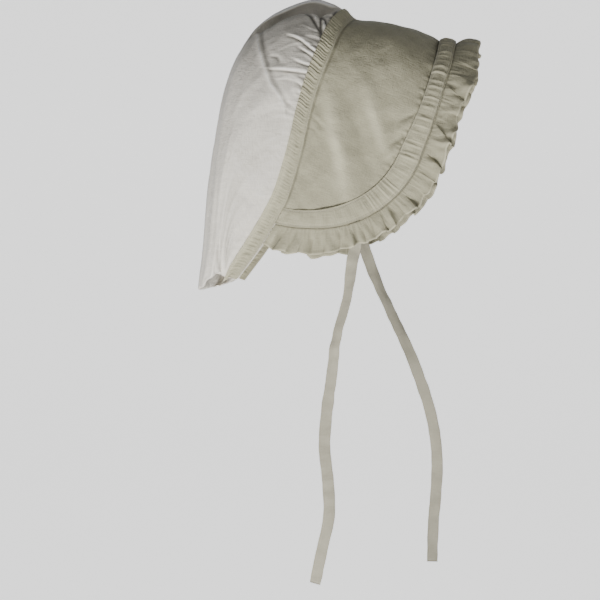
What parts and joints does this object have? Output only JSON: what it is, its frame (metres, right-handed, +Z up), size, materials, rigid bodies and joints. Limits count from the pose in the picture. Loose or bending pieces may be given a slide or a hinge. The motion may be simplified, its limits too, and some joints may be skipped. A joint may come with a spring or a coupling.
{
  "type": "bonnet",
  "caption": "Gathered cotton bonnet with a soft full crown, a deep stiffened brim with a banded frill round its edge, and two long tie tapes.",
  "frame": {"origin": "the head seat: on the plane of symmetry, just under the cloth at the top of the seam between brim and crown, where the bonnet rests on the wearer's head", "axes": "+X the way the wearer faces, +Y to the wearer's left, +Z up. The bonnet is stored with the head bowed 20 degrees forward, as it is worn, and the ties hang along -Z."},
  "size_m": [0.3127, 0.2256, 0.636],
  "materials": {
    "natural_cotton": "matt plain weave, natural cotton, stiffened in the brim",
    "crown_cotton": "matt fine plain weave, soft",
    "tape_cotton": "matt cotton tape"
  },
  "bodies": {
    "root": {"crown": "crown_cotton", "gather_strip": "natural_cotton", "brim": "natural_cotton", "brim_band": "natural_cotton", "frill": "natural_cotton", "tie_right": "tape_cotton", "tie_left": "tape_cotton"}
  },
  "joints": []
}
